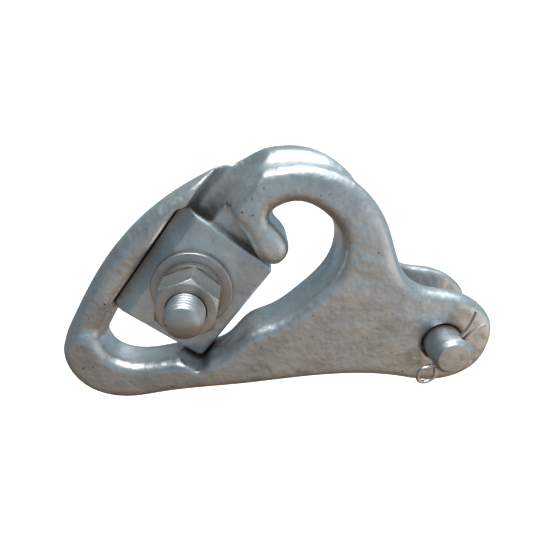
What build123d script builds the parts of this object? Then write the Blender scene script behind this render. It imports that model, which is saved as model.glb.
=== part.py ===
"""Bolted strain clamp with a side keeper and a clevis, for an overhead line. Millimetres.

The clamp hangs by its clevis pin. The origin is the middle of that pin's grip, halfway between
the two ears. +Z is up, the pin and the keeper bolt lie along Y, with the nut and the split pin
towards -Y (the front), and the casting reaches away along -X, towards the line.
"""
import os
from math import cos, radians, sin, sqrt

from build123d import *

# ---------------------------------------------------------------- driving dimensions
# Clevis
PIN_D = 16.0              # clevis pin, shank diameter
PIN_PLAY = 0.8            # the cored pin holes are this much wider than the pin
EAR_GAP = 18.0            # clear gap between the ears
EAR_T = 8.5               # thickness of each ear
EAR_R = 22.0              # radius of the ear's round end
SLOT_REACH = 24.0         # how far the gap runs from the pin into the casting

# Casting, seen along Y: points as x and z
TOE = (-144.0, -17.0)     # middle of the round lower left end
TOE_R = 22.5
BACK_LOW = (-161.5, -2.0)
BACK_MID = (-134.5, 39.0)
BACK_HIGH = (-92.5, 68.5)
CROWN = (-64.0, 75.5)
CROWN_END = (-41.0, 64.0)
RIM_W = 15.0              # width of the back rim

# Outline of the front of the casting, feature by feature, clockwise from the clevis
CLEVIS_TOP = [(22.0, 0.0), (15.5, 15.6), (0.0, 22.0), (-10.5, 23.6), (-19.0, 29.0)]
ARCH_OUT = [(-25.0, 40.0), (-31.0, 53.0), (-44.0, 66.0), (-62.0, 71.5), (-79.0, 69.0)]
HOOK_END = [(-91.0, 61.5), (-90.5, 53.0), (-83.5, 42.0), (-78.5, 33.8), (-72.0, 31.6), (-67.2, 37.5), (-70.0, 45.0)]
EYE_EDGE = [(-75.3, 51.5), (-68.0, 57.3), (-56.0, 55.0), (-47.0, 45.0), (-47.5, 30.0), (-60.0, 14.5)]
LOOP_EDGE = [(-73.5, 4.2), (-82.5, 0.0), (-93.0, -11.5), (-115.0, -17.0), (-134.0, -20.0), (-145.5, -15.0)]
TOE_EDGE = [(-151.0, -5.0), (-161.5, -6.0), (-166.0, -19.0), (-157.0, -35.0), (-141.0, -39.5)]
UNDERSIDE = [(-122.0, -35.5), (-86.0, -28.5), (-46.0, -21.5), (-16.0, -20.5), (-2.0, -21.9), (15.5, -15.6)]

# Casting, depths along Y
ARCH_FRONT = -14.0
ARCH_BACK = 13.0
LIMB_FRONT = -10.0
LIMB_BACK = 12.0
TOE_FRONT = -4.0
RIM_FRONT = -3.0
BACK_FACE = 19.0          # flat back of the pad
SEAT_Y = 8.5              # front of the pad, under the keeper
CAST_ROUND = 4.4          # rounding along the outline

# Keeper plate and its bolt
BOLT_D = 16.0
BOLT_AT = (-107.5, 15.5)
BOLT_PLAY = 1.0           # the cored bolt hole is this much wider than the bolt
KEEPER_L = 56.5           # along the conductor
KEEPER_W = 47.0           # across the conductor
KEEPER_T = 6.5
KEEPER_CORNER = 3.0
KEEPER_ROOM = 0.8         # clearance around the keeper where it sinks into the casting
KEEPER_TURN = 54.5        # direction of the conductor, degrees up from +X
CONDUCTOR_D = 10.0        # conductor the channel takes
CONDUCTOR_OFF = 15.0      # its centreline, across the keeper from the bolt
CONDUCTOR_Y = 10.5        # its centreline, along Y
GROOVE_PLAY = 0.3         # the channel is this much wider than the conductor
KEEPER_GROOVE_PLAY = 1.2  # the keeper's groove is this much wider, and clears the conductor
LIP_W = 8.0               # bevelled strip along the keeper's edge over the conductor
LIP_DROP = 2.5
SEAT_GAP = 0.15           # between the keeper and the pad
FACE_GAP = 0.1            # between the washers, nut and keeper

# Fasteners
FLAT_OD = 35.0
FLAT_T = 3.0
SPRING_OD = 27.0
SPRING_T = 4.0
WASHER_PLAY = 1.0         # washer bores over the bolt
NUT_AF = 24.0
NUT_T = 13.5
NUT_PLAY = 0.3            # smooth nut bore over the smooth bolt
THREAD_OUT = 9.5
BOLT_POINT = 1.4          # chamfer on the end of the bolt
HEAD_AF = 24.0
HEAD_T = 10.0
PIN_OUT = 12.0            # pin beyond the front ear
PIN_HEAD_D = 24.0
PIN_HEAD_T = 4.0
SPLIT_D = 3.4             # split pin, both legs together
SPLIT_HOLE = 4.0
SPLIT_BACK = 5.0          # from the end of the clevis pin to the split pin's middle
SPLIT_TURN = 57.0         # direction its legs point, degrees up from +X
SPLIT_EYE_R = 4.0
NUT_TURN = 20.0
SLIT_TURN = 200.0
SLIT_W = 2.0
CHANNEL_UP = 80.0
CHANNEL_DOWN = 34.0


def slab(sketch, front, back):
    """Extrude an outline drawn in x and z between two depths along Y."""
    return extrude(Plane.XZ.offset(-back) * sketch, amount=back - front)


def rod(centre, diameter, front, back):
    """Cylinder along Y."""
    return slab(Pos(*centre) * Circle(diameter / 2), front, back)


def rounded(shape, front, back, radius, longer_than=0.0):
    """Round the edges in a slab's front and back faces, leaving out short ones."""
    low = shape.edges().filter_by_position(Axis.Y, front - 0.01, front + 0.01)
    high = shape.edges().filter_by_position(Axis.Y, back - 0.01, back + 0.01)
    rims = [edge for edge in low + high if edge.length > longer_than]
    return fillet(rims, radius)


def bar(points, width, front, back, radius):
    """Rounded bar whose middle runs through points in x and z."""
    shape = slab(trace(Spline(*points), width), front, back)
    return rounded(shape, front, back, radius, 1.3 * width)


def poly(points, corner):
    face = make_face(Polyline(*points, close=True))
    return fillet(face.vertices(), corner)


def on_keeper(shape):
    """Place a shape drawn along and across the keeper, from the bolt."""
    return Pos(BOLT_AT[0], BOLT_AT[1]) * Rot(0, 0, KEEPER_TURN) * shape


def rim():
    """Bar that rises up the back from the toe and runs over the crown."""
    points = [
        (TOE[0] + 14, TOE[1] - TOE_R + RIM_W / 2 + 1),
        (TOE[0], TOE[1] - TOE_R + RIM_W / 2),
        (TOE[0] - TOE_R + RIM_W / 2, TOE[1] + 1),
        (BACK_LOW[0] + 6.5, BACK_LOW[1] - 3),
        (BACK_MID[0] + 5.5, BACK_MID[1] - 5),
        (BACK_HIGH[0] + 3.5, BACK_HIGH[1] - 7),
        (CROWN[0], CROWN[1] - RIM_W / 2),
        (CROWN_END[0] - 6, CROWN_END[1] - 4),
    ]
    return bar(points, RIM_W, RIM_FRONT, BACK_FACE - 1, 6.0)


def front_outline():
    """Ears, arch, hook, web and limb in one smooth closed curve."""
    curve = Spline(*CLEVIS_TOP, *ARCH_OUT, *HOOK_END, *EYE_EDGE, *LOOP_EDGE, *TOE_EDGE, *UNDERSIDE,
                   periodic=True)
    return make_face(curve)


def side_depth():
    """Depth of the casting along its length, from the thin toe to the wide clevis."""
    half = EAR_GAP / 2 + EAR_T
    front = Spline((45.0, -half), (-8.0, -half), (-50.0, ARCH_FRONT), (-95.0, LIMB_FRONT - 1),
                   (-135.0, TOE_FRONT - 3), (-175.0, TOE_FRONT))
    back = Spline((-175.0, LIMB_BACK), (-95.0, LIMB_BACK), (-50.0, ARCH_BACK), (-8.0, half), (45.0, half))
    face = make_face([front, Line(front @ 1, back @ 0), back, Line(back @ 1, front @ 0)])
    return extrude(Pos(0, 0, -60) * face, amount=150)


def front_casting():
    """Hook, web, limb and ears, rounded all along their outline."""
    shape = slab(front_outline(), -30, 30) & side_depth()
    outline = [edge for edge in shape.edges() if edge.length > 4 * EAR_R]
    return fillet(outline, CAST_ROUND)


def pad():
    """Flat seat under the keeper, joined to the rim and the arch."""
    points = [(-150.0, 12.0), (-126.0, 46.0), (-96.0, 66.0), (-72.0, 62.0), (-74.0, 34.0), (-82.0, 12.0),
              (-92.0, -4.0), (-112.0, -3.0), (-140.0, 4.0)]
    return rounded(slab(poly(points, 4.0), SEAT_Y, BACK_FACE), SEAT_Y, BACK_FACE, 1.0)


def clevis_gap():
    return slab(Pos((EAR_R + 8 - SLOT_REACH) / 2, 5) * Rectangle(EAR_R + 8 + SLOT_REACH, 76),
                -EAR_GAP / 2, EAR_GAP / 2)


def conductor_line():
    """Plane whose normal runs along the conductor, at its middle beside the bolt."""
    turn = radians(KEEPER_TURN)
    middle = (
        BOLT_AT[0] - CONDUCTOR_OFF * sin(turn),
        CONDUCTOR_Y,
        BOLT_AT[1] + CONDUCTOR_OFF * cos(turn),
    )
    return Plane(middle, x_dir=(0, 1, 0), z_dir=(cos(turn), 0, sin(turn)))


def channel(wide):
    """Room for the conductor: a round-bottomed run, open to the front."""
    mouth = Polyline((0, -wide / 2), (-60, -wide / 2 - 8), (-60, wide / 2 + 8), (0, wide / 2))
    profile = make_face([mouth, Line((0, wide / 2), (0, -wide / 2))]) + Circle(wide / 2)
    return extrude(conductor_line() * profile, amount=CHANNEL_UP) + extrude(
        conductor_line() * profile, amount=-CHANNEL_DOWN
    )


def keeper_room():
    """Space the keeper needs, from its seat to where it backs off."""
    plate = Rectangle(KEEPER_L + 2 * KEEPER_ROOM, KEEPER_W + 2 * KEEPER_ROOM)
    return slab(on_keeper(fillet(plate.vertices(), KEEPER_CORNER)), -40, SEAT_Y)


def clamp_body():
    shape = rim() + front_casting() + pad()
    half = EAR_GAP / 2 + EAR_T
    shape &= slab(Rectangle(500, 500), -half, BACK_FACE)
    shape -= slab(Pos(EAR_R, 0) * Rectangle(4 * EAR_R, 4 * EAR_R), half, 2 * half)
    shape -= clevis_gap()
    shape -= channel(CONDUCTOR_D + GROOVE_PLAY)
    shape -= keeper_room()
    shape -= rod((0, 0), PIN_D + PIN_PLAY, -40, 40)
    shape -= rod(BOLT_AT, BOLT_D + BOLT_PLAY, -40, 40)
    return shape


def lip_cut(front):
    """Wedge that bevels the keeper's edge over the conductor."""
    face = front - CONDUCTOR_Y
    edge = KEEPER_W / 2 - CONDUCTOR_OFF
    wedge = make_face(Polyline((face, edge - LIP_W), (face + LIP_DROP, edge), (face + LIP_DROP, edge + 3),
                               (face - 3, edge + 3), (face - 3, edge - LIP_W), close=True))
    return extrude(conductor_line() * wedge, amount=KEEPER_L, both=True)


def keeper_plate():
    """Plate with a bevelled lip over the conductor, and a hidden groove that clears it."""
    back = SEAT_Y - SEAT_GAP
    front = back - KEEPER_T
    plate = fillet(Rectangle(KEEPER_L, KEEPER_W).vertices(), KEEPER_CORNER)
    shape = slab(on_keeper(plate), front, back)
    rims = shape.edges().filter_by_position(Axis.Y, front - 0.01, front + 0.01)
    shape = fillet(rims, 1.2) - lip_cut(front)
    groove = Cylinder((CONDUCTOR_D + KEEPER_GROOVE_PLAY) / 2, 2 * KEEPER_L)
    shape -= conductor_line().location * groove
    shape -= rod(BOLT_AT, BOLT_D + BOLT_PLAY, -40, 40)
    return shape


def stack():
    """Front faces of the keeper, flat washer, spring washer and nut."""
    keeper = SEAT_Y - SEAT_GAP - KEEPER_T
    flat = keeper - FACE_GAP - FLAT_T
    spring = flat - FACE_GAP - SPRING_T
    nut = spring - FACE_GAP - NUT_T
    return keeper, flat, spring, nut


def flat_washer():
    front = stack()[1]
    shape = rod(BOLT_AT, FLAT_OD, front, front + FLAT_T)
    shape = fillet(shape.edges().filter_by(GeomType.CIRCLE), 0.5)
    return shape - rod(BOLT_AT, BOLT_D + WASHER_PLAY, -40, 40)


def spring_washer():
    front = stack()[2]
    shape = rod(BOLT_AT, SPRING_OD, front, front + SPRING_T)
    shape -= rod(BOLT_AT, BOLT_D + WASHER_PLAY, -40, 40)
    slit = Pos(*BOLT_AT) * Rot(0, 0, SLIT_TURN) * Pos(SPRING_OD / 2, 0) * Rectangle(SPRING_OD, SLIT_W)
    return shape - slab(slit, front - 1, front + SPRING_T + 1)


def hex_nut():
    front = stack()[3]
    hexagon = Pos(*BOLT_AT) * Rot(0, 0, NUT_TURN) * RegularPolygon(NUT_AF / 2, 6, major_radius=False)
    shape = slab(hexagon, front, front + NUT_T)
    corner = Pos(BOLT_AT[0], front + NUT_T / 2, BOLT_AT[1]) * Rot(90, 0, 0)
    shape &= corner * chamfer(Cylinder(NUT_AF / sqrt(3), NUT_T).edges().filter_by(GeomType.CIRCLE), 1.2, 2.0)
    return shape - rod(BOLT_AT, BOLT_D + NUT_PLAY, -60, 40)


def clamp_bolt():
    front = stack()[3] - THREAD_OUT
    back = BACK_FACE + FACE_GAP
    shape = rod(BOLT_AT, BOLT_D, front, back + 1)
    tip = shape.edges().filter_by_position(Axis.Y, front - 0.01, front + 0.01)
    shape = chamfer(tip, BOLT_POINT)
    hexagon = Pos(*BOLT_AT) * Rot(0, 0, KEEPER_TURN) * RegularPolygon(HEAD_AF / 2, 6, major_radius=False)
    return shape + slab(hexagon, back, back + HEAD_T)


def clevis_pin():
    half = EAR_GAP / 2 + EAR_T
    shape = rod((0, 0), PIN_D, -half - PIN_OUT, half + 1)
    tip = shape.edges().filter_by_position(Axis.Y, -half - PIN_OUT - 0.01, -half - PIN_OUT + 0.01)
    shape = chamfer(tip, 1.5)
    head = rod((0, 0), PIN_HEAD_D, half + FACE_GAP, half + FACE_GAP + PIN_HEAD_T)
    shape += fillet(head.edges().filter_by(GeomType.CIRCLE), 1.0)
    y = -half - PIN_OUT + SPLIT_BACK
    turn = radians(SPLIT_TURN)
    across_pin = Plane((0, y, 0), x_dir=(0, 1, 0), z_dir=(cos(turn), 0, sin(turn)))
    return shape - across_pin.location * Cylinder(SPLIT_HOLE / 2, 3 * PIN_D)


def split_pin():
    """One half-round wire: up one leg, round the eye and back down the other leg."""
    y = -EAR_GAP / 2 - EAR_T - PIN_OUT + SPLIT_BACK
    turn = radians(SPLIT_TURN)
    flat = Plane((0, y, 0), x_dir=(cos(turn), 0, sin(turn)), z_dir=(0, -1, 0))
    side = SPLIT_D / 4
    out = PIN_D / 2
    wire = Spline(
        (out + 12.0, side + 3.6),
        (out + 4.0, side + 0.6),
        (0, side),
        (-out - 1.5, side + 0.3),
        (-out - 5.0, SPLIT_EYE_R - 0.4),
        (-out - 10.0, 0),
        (-out - 5.0, -SPLIT_EYE_R + 0.4),
        (-out - 1.5, -side - 0.3),
        (0, -side),
        (out + 4.0, -side - 0.5),
        (out + 9.5, -side - 2.0),
    )
    path = flat * wire
    start = Plane(path @ 0, z_dir=path % 0)
    return sweep(start * Circle(side * 0.96), path)


PARTS = [
    clamp_body,
    keeper_plate,
    flat_washer,
    spring_washer,
    hex_nut,
    clamp_bolt,
    clevis_pin,
    split_pin,
]

os.makedirs("parts", exist_ok=True)
for part in PARTS:
    export_step(part(), f"parts/{part.__name__}.step")
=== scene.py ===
"""Bolted strain clamp, hot-dip galvanised. Metres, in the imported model's frame."""
from math import cos, pi, radians, sin

import bpy
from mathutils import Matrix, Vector


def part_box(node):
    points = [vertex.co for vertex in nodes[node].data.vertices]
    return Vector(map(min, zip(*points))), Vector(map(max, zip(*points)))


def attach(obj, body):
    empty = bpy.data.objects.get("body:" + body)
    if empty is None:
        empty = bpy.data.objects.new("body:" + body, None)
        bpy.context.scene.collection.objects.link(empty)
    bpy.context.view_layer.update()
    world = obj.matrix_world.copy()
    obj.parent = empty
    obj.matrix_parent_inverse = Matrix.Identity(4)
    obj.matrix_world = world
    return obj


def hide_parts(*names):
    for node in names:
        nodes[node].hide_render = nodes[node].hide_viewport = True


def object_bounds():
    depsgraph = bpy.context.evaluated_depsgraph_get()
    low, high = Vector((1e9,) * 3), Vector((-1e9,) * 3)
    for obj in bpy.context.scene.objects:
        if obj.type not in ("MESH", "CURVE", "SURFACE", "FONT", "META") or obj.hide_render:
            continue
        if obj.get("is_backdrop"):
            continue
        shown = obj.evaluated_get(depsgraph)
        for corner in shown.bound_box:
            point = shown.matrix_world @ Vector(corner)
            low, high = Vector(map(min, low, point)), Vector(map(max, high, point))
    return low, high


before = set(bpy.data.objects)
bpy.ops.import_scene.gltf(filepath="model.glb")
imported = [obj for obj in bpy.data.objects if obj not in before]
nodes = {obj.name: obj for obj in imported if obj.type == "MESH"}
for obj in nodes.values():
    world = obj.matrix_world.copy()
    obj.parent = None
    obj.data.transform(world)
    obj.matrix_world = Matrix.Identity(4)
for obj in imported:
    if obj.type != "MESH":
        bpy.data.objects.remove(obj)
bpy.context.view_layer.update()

# Keeper bolt
PITCH = 0.002
THREAD_DEPTH = 0.0011
THREAD_LENGTH = 0.038
ROWS_A_TURN = 12          # rows of faces along one turn of thread
BOLT_AROUND = 96          # faces round the bolt
BOLT_R = 0.008
CREST_PLAY = 0.00012      # thread crests under the nut's bore
TIP_CHAMFER = 0.0014
HEAD_T = 0.010
HEAD_HALF_FLAT = 0.012
HEAD_CORNER = 1.12        # head's largest radius over its half width
HEAD_CHAMFER = 0.0015
HEAD_SLOPE = 1.1
HEAD_TURN = 54.5          # the head's flats lie along the keeper
SLIVER = 0.00001

# Casting
CAST_VOXEL = 0.0009       # grid that the casting is rebuilt on, to round its creases
SMOOTH_FACTOR = 0.5
SMOOTH_STEPS = 14

# Surroundings
FLOOR_DROP = 0.16         # the object hangs this far above the floor
FLOOR_HALF = 80.0
CAMERA_LENS = 27.17
CAMERA_AT = (-0.0835, -0.1641, 0.0979)
CAMERA_TURN = (65.14, -2.2, -3.48)


def add_node(nt, kind, **values):
    """New shader node: each value goes to the socket of that name, or else to the property."""
    node = nt.nodes.new(kind)
    for name, value in values.items():
        if name in node.inputs:
            node.inputs[name].default_value = value
        else:
            setattr(node, name, value)
    return node


def ramp(nt, source, stops):
    node = nt.nodes.new("ShaderNodeValToRGB")
    line = node.color_ramp
    while len(line.elements) < len(stops):
        line.elements.new(0.5)
    for element, (place, colour) in zip(line.elements, stops):
        element.position = place
        element.color = (*colour, 1.0)
    nt.links.new(source, node.inputs["Fac"])
    return node.outputs["Color"]


def mix(nt, factor, a, b, blend="MIX"):
    node = nt.nodes.new("ShaderNodeMix")
    node.data_type = "RGBA"
    node.blend_type = blend
    if isinstance(factor, float):
        node.inputs[0].default_value = factor
    else:
        nt.links.new(factor, node.inputs[0])
    for socket, value in ((node.inputs[6], a), (node.inputs[7], b)):
        if isinstance(value, tuple):
            socket.default_value = (*value, 1.0)
        else:
            nt.links.new(value, socket)
    return node.outputs[2]


def noise(nt, place, scale, detail=3.0, rough=0.55):
    node = add_node(nt, "ShaderNodeTexNoise", Scale=scale, Detail=detail, Roughness=rough)
    nt.links.new(place, node.inputs["Vector"])
    return node.outputs["Fac"]


def bump(nt, height, distance, strength, normal=None):
    node = add_node(nt, "ShaderNodeBump", Distance=distance, Strength=strength)
    nt.links.new(height, node.inputs["Height"])
    if normal is not None:
        nt.links.new(normal, node.inputs["Normal"])
    return node.outputs["Normal"]


def galvanised(name, light, dark, metal=0.85, rough=(0.28, 0.46), dimples=1.0, grain=1.0, soften=0.0008):
    """Zinc coat: cloudy grey, small runs and dimples, dark specks, a little brown dirt at random, and
    painted brown shade in the hollows.
    """
    mat = bpy.data.materials.new(name)
    mat.use_nodes = True
    nt = mat.node_tree
    shader = nt.nodes["Principled BSDF"]
    place = nt.nodes.new("ShaderNodeTexCoord").outputs["Object"]
    clouds = noise(nt, place, 55.0, 5.0, 0.6)
    colour = ramp(nt, clouds, [(0.30, dark), (0.68, light)])
    flake = add_node(nt, "ShaderNodeTexVoronoi", Scale=420.0)
    nt.links.new(place, flake.inputs["Vector"])
    flakes = ramp(nt, flake.outputs["Color"], [(0.0, (0.86, 0.86, 0.86)), (1.0, (1.0, 1.0, 1.0))])
    colour = mix(nt, 0.55, colour, flakes, "MULTIPLY")
    dirt = ramp(nt, noise(nt, place, 130.0, 8.0, 0.72), [(0.60, (0.0, 0.0, 0.0)), (0.74, (1.0, 1.0, 1.0))])
    colour = mix(nt, dirt, colour, mix(nt, 0.5, colour, (0.16, 0.14, 0.12)))
    specks = ramp(nt, noise(nt, place, 620.0, 2.0, 0.5), [(0.70, (0.0, 0.0, 0.0)), (0.76, (1.0, 1.0, 1.0))])
    colour = mix(nt, specks, colour, (0.10, 0.09, 0.08))
    # Painted shade: ambient occlusion darkens creases, hollows and gaps between parts towards brown.
    hollow_shade = add_node(nt, "ShaderNodeAmbientOcclusion", Distance=0.010)
    hollow_shade.samples = 8
    shade = ramp(nt, hollow_shade.outputs["AO"], [(0.25, (1.0, 1.0, 1.0)), (0.80, (0.0, 0.0, 0.0))])
    colour = mix(nt, shade, colour, mix(nt, 0.72, colour, (0.23, 0.14, 0.08)))
    nt.links.new(colour, shader.inputs["Base Color"])
    shader.inputs["Metallic"].default_value = metal
    gloss = ramp(nt, noise(nt, place, 90.0, 4.0, 0.6), [(0.3, (rough[0],) * 3), (0.7, (rough[1],) * 3)])
    nt.links.new(gloss, shader.inputs["Roughness"])
    edge = add_node(nt, "ShaderNodeBevel", Radius=soften)
    edge.samples = 6
    normal = edge.outputs["Normal"]
    normal = bump(nt, noise(nt, place, 60.0, 3.0, 0.5), 0.0016, 0.45 * dimples, normal)
    normal = bump(nt, noise(nt, place, 240.0, 3.0, 0.55), 0.0004, 0.55 * dimples, normal)
    normal = bump(nt, noise(nt, place, 1300.0, 2.0, 0.6), 0.00006, 0.5 * grain, normal)
    nt.links.new(normal, shader.inputs["Normal"])
    return mat


def put(obj, mat):
    obj.data.materials.clear()
    obj.data.materials.append(mat)


def give(node, mat):
    """A finish for a CAD node, in its own material slots."""
    obj = nodes[node]
    if not obj.material_slots:
        obj.data.materials.append(mat)
    for place in obj.material_slots:
        place.material = mat


def add_mesh(name, verts, faces, smooth=True):
    mesh = bpy.data.meshes.new(name)
    mesh.from_pydata(verts, [], faces)
    mesh.validate()
    mesh.update()
    obj = bpy.data.objects.new(name, mesh)
    bpy.context.scene.collection.objects.link(obj)
    for polygon in mesh.polygons:
        polygon.use_smooth = smooth
    return obj


def along_y(name, centre, rows, radius, around):
    """Closed skin round a line along Y: radius(turn, row) at each of the rows' places."""
    verts = []
    faces = []
    for index, y in enumerate(rows):
        for step in range(around):
            turn = 2 * pi * step / around
            r = radius(turn, index)
            verts.append((centre[0] + r * cos(turn), y, centre[1] + r * sin(turn)))
    for index in range(len(rows) - 1):
        for step in range(around):
            nxt = (step + 1) % around
            a = index * around
            faces.append((a + step, a + nxt, a + around + nxt, a + around + step))
    faces.append(tuple(range(around))[::-1])
    last = (len(rows) - 1) * around
    faces.append(tuple(last + step for step in range(around)))
    return add_mesh(name, verts, faces)


def cast_piece():
    """The casting again on a fine grid, so that its creases turn into the soft fillets of a casting."""
    obj = nodes["clamp_body"].copy()
    obj.data = nodes["clamp_body"].data.copy()
    obj.name = "cast_snail"
    for key in list(obj.keys()):
        del obj[key]
    obj.parent = None
    bpy.context.scene.collection.objects.link(obj)
    grid = obj.modifiers.new("grid", "REMESH")
    grid.mode = "VOXEL"
    grid.voxel_size = CAST_VOXEL
    grid.use_smooth_shade = True
    soft = obj.modifiers.new("soft", "SMOOTH")
    soft.factor = SMOOTH_FACTOR
    soft.iterations = SMOOTH_STEPS
    bpy.context.view_layer.update()
    graph = bpy.context.evaluated_depsgraph_get()
    mesh = bpy.data.meshes.new_from_object(obj.evaluated_get(graph))
    obj.modifiers.clear()
    obj.data = mesh
    mesh.materials.clear()
    for polygon in mesh.polygons:
        polygon.use_smooth = True
    return obj


def bolt_piece():
    """Bolt with its rolled thread, its chamfered end and a hexagon head at the back."""
    low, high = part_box("clamp_bolt")
    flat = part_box("flat_washer")
    centre = ((flat[0][0] + flat[1][0]) / 2, (flat[0][2] + flat[1][2]) / 2)
    radius = BOLT_R - CREST_PLAY
    tip = low[1]
    head_y = high[1] - HEAD_T
    bevel_y = high[1] - HEAD_CHAMFER
    rows = []
    y = tip
    while y < head_y:
        rows.append(y)
        y += PITCH / ROWS_A_TURN
    rows += [head_y]
    shank = len(rows)
    rows += [head_y + SLIVER, bevel_y, high[1] - SLIVER, high[1]]

    def skin(turn, index):
        y = rows[index]
        if index >= shank:
            near = (turn - radians(HEAD_TURN)) % (pi / 3) - pi / 6
            hexagon = HEAD_HALF_FLAT / cos(near)
            cone = HEAD_HALF_FLAT * HEAD_CORNER - max(0.0, y - bevel_y) * HEAD_SLOPE
            return min(hexagon, cone)
        r = radius
        if y < tip + THREAD_LENGTH:
            phase = ((y - tip) / PITCH - turn / (2 * pi)) % 1.0
            r -= THREAD_DEPTH * min(1.0, max(0.0, abs(phase - 0.5) * 2.4 - 0.2))
        return min(r, radius - TIP_CHAMFER + (y - tip))

    return along_y("bolt_threaded", centre, rows, skin, BOLT_AROUND)


def floor():
    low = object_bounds()[0]
    z = low[2] - FLOOR_DROP
    corners = [(x * FLOOR_HALF, y * FLOOR_HALF, z) for x, y in ((-1, -1), (1, -1), (1, 1), (-1, 1))]
    obj = add_mesh("floor", corners,
                   [(0, 1, 2, 3)], False)
    mat = bpy.data.materials.new("floor_white")
    mat.use_nodes = True
    shader = mat.node_tree.nodes["Principled BSDF"]
    shader.inputs["Base Color"].default_value = (0.95, 0.95, 0.95, 1.0)
    shader.inputs["Roughness"].default_value = 0.9
    put(obj, mat)
    obj.visible_glossy = False
    obj.visible_diffuse = False
    obj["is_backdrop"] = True
    return obj


def sun(name, aim, spread, power, colour):
    data = bpy.data.lights.new(name, "SUN")
    data.angle = radians(spread)
    data.energy = power
    data.color = colour
    obj = bpy.data.objects.new(name, data)
    bpy.context.scene.collection.objects.link(obj)
    obj.rotation_euler = Vector(aim).to_track_quat("-Z", "Y").to_euler()
    return obj


def sky():
    """White behind the object; for its reflections, cool and bright above, brown and dim below."""
    world = bpy.data.worlds.new("studio")
    bpy.context.scene.world = world
    world.use_nodes = True
    nt = world.node_tree
    nt.nodes.clear()
    out = nt.nodes.new("ShaderNodeOutputWorld")
    place = nt.nodes.new("ShaderNodeTexCoord")
    split = nt.nodes.new("ShaderNodeSeparateXYZ")
    nt.links.new(place.outputs["Generated"], split.inputs["Vector"])
    height = add_node(nt, "ShaderNodeMath", operation="MULTIPLY_ADD")
    nt.links.new(split.outputs["Z"], height.inputs[0])
    height.inputs[1].default_value = 0.5
    height.inputs[2].default_value = 0.5
    tone = ramp(nt, height.outputs["Value"], [
        (0.0, (0.20, 0.12, 0.07)),
        (0.20, (0.42, 0.29, 0.19)),
        (0.29, (0.66, 0.49, 0.34)),
        (0.36, (0.46, 0.60, 0.72)),
        (0.60, (0.24, 0.34, 0.40)),
        (0.80, (0.50, 0.62, 0.68)),
        (1.0, (1.0, 1.1, 1.15)),
    ])
    side = add_node(nt, "ShaderNodeMapRange")
    side.inputs["From Min"].default_value = -0.85
    side.inputs["From Max"].default_value = 0.15
    side.inputs["To Min"].default_value = 0.30
    side.inputs["To Max"].default_value = 1.0
    nt.links.new(split.outputs["X"], side.inputs["Value"])
    dim = nt.nodes.new("ShaderNodeVectorMath")
    dim.operation = "SCALE"
    nt.links.new(tone, dim.inputs[0])
    nt.links.new(side.outputs["Result"], dim.inputs["Scale"])
    tone = dim.outputs["Vector"]
    seen = add_node(nt, "ShaderNodeBackground", Strength=1.0)
    seen.inputs["Color"].default_value = (1.0, 1.0, 1.0, 1.0)
    lit = add_node(nt, "ShaderNodeBackground", Strength=1.0)
    nt.links.new(tone, lit.inputs["Color"])
    rays = nt.nodes.new("ShaderNodeLightPath")
    pick = nt.nodes.new("ShaderNodeMixShader")
    nt.links.new(rays.outputs["Is Camera Ray"], pick.inputs[0])
    nt.links.new(lit.outputs[0], pick.inputs[1])
    nt.links.new(seen.outputs[0], pick.inputs[2])
    nt.links.new(pick.outputs[0], out.inputs["Surface"])


def camera():
    data = bpy.data.cameras.new("camera")
    data.sensor_width = 36.0
    data.sensor_fit = "HORIZONTAL"
    data.lens = CAMERA_LENS
    data.clip_start = 0.005
    obj = bpy.data.objects.new("camera", data)
    bpy.context.scene.collection.objects.link(obj)
    obj.location = CAMERA_AT
    obj.rotation_euler = [radians(a) for a in CAMERA_TURN]
    bpy.context.scene.camera = obj


cast = galvanised("zinc_cast", (0.68, 0.71, 0.72), (0.46, 0.49, 0.51), dimples=1.3, soften=0.0015)
plate = galvanised("zinc_plate", (0.62, 0.68, 0.71), (0.42, 0.47, 0.51), dimples=0.8)
washer = galvanised("zinc_washer", (0.52, 0.53, 0.54), (0.33, 0.33, 0.33), dimples=0.4, soften=0.0004)
spring = galvanised("zinc_spring", (0.42, 0.41, 0.40), (0.24, 0.22, 0.20), dimples=0.3, soften=0.0003)
nut = galvanised("zinc_nut", (0.60, 0.60, 0.59), (0.40, 0.39, 0.37), dimples=0.4, soften=0.0006)
bolt = galvanised("zinc_bolt", (0.58, 0.61, 0.63), (0.38, 0.39, 0.40), dimples=0.3, soften=0.0002)
pin = galvanised("zinc_pin", (0.60, 0.65, 0.68), (0.40, 0.44, 0.47), dimples=0.7, soften=0.0006)
wire = galvanised("bright_wire", (0.80, 0.79, 0.77), (0.55, 0.53, 0.50), metal=0.95, rough=(0.2, 0.35),
                  dimples=0.1, grain=0.3, soften=0.0002)

give("clamp_body", cast)
give("keeper_plate", plate)
give("flat_washer", washer)
give("spring_washer", spring)
give("hex_nut", nut)
give("clamp_bolt", bolt)
give("clevis_pin", pin)
give("split_pin", wire)

body = cast_piece()
put(body, cast)
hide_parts("clamp_body")
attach(body, "clamp")

threaded = bolt_piece()
put(threaded, bolt)
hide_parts("clamp_bolt")
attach(threaded, "clamp")

floor()
sky()
sun("key", (0.10, 0.35, -1.0), 35.0, 2.4, (0.97, 0.99, 1.0))
sun("top", (-0.25, -0.35, -0.9), 45.0, 1.2, (0.95, 0.98, 1.0))
sun("low", (-0.9, 0.8, 0.25), 50.0, 0.35, (1.0, 0.72, 0.50))
camera()

scene = bpy.context.scene
scene.view_settings.view_transform = "Standard"
scene.view_settings.look = "None"
scene.view_settings.exposure = 0.0
